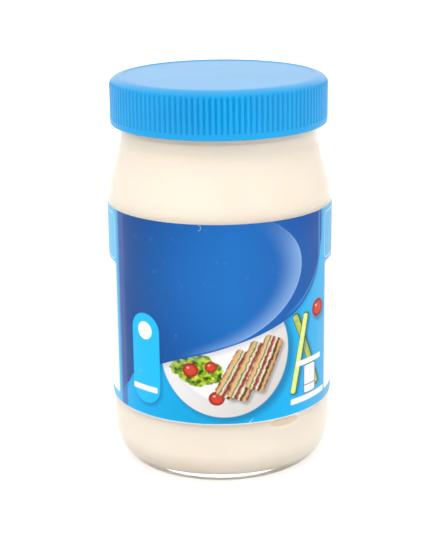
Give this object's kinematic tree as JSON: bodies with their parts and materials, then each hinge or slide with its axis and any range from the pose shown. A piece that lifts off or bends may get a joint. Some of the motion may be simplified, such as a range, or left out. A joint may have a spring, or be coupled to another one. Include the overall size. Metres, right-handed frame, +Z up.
{
  "type": "mayonnaise jar",
  "caption": "Clear glass jar filled with mayonnaise, closed by a ribbed blue screw cap and wrapped in a printed blue label.",
  "frame": {"origin": "middle of the foot, on the surface that the jar stands on", "axes": "+Z up along the jar's axis, the front of the label faces -Y"},
  "size_m": [0.077, 0.077, 0.1335],
  "materials": {
    "clear_glass": "clear polished glass",
    "mayonnaise": "smooth cream, softly glossy",
    "label_paper": "coated paper printed in blue, light blue and white",
    "cap_plastic": "satin moulded plastic"
  },
  "bodies": {
    "root": {"glass_jar": "clear_glass", "mayonnaise": "mayonnaise", "wrap_label": "label_paper", "screw_cap": "cap_plastic"}
  },
  "joints": []
}
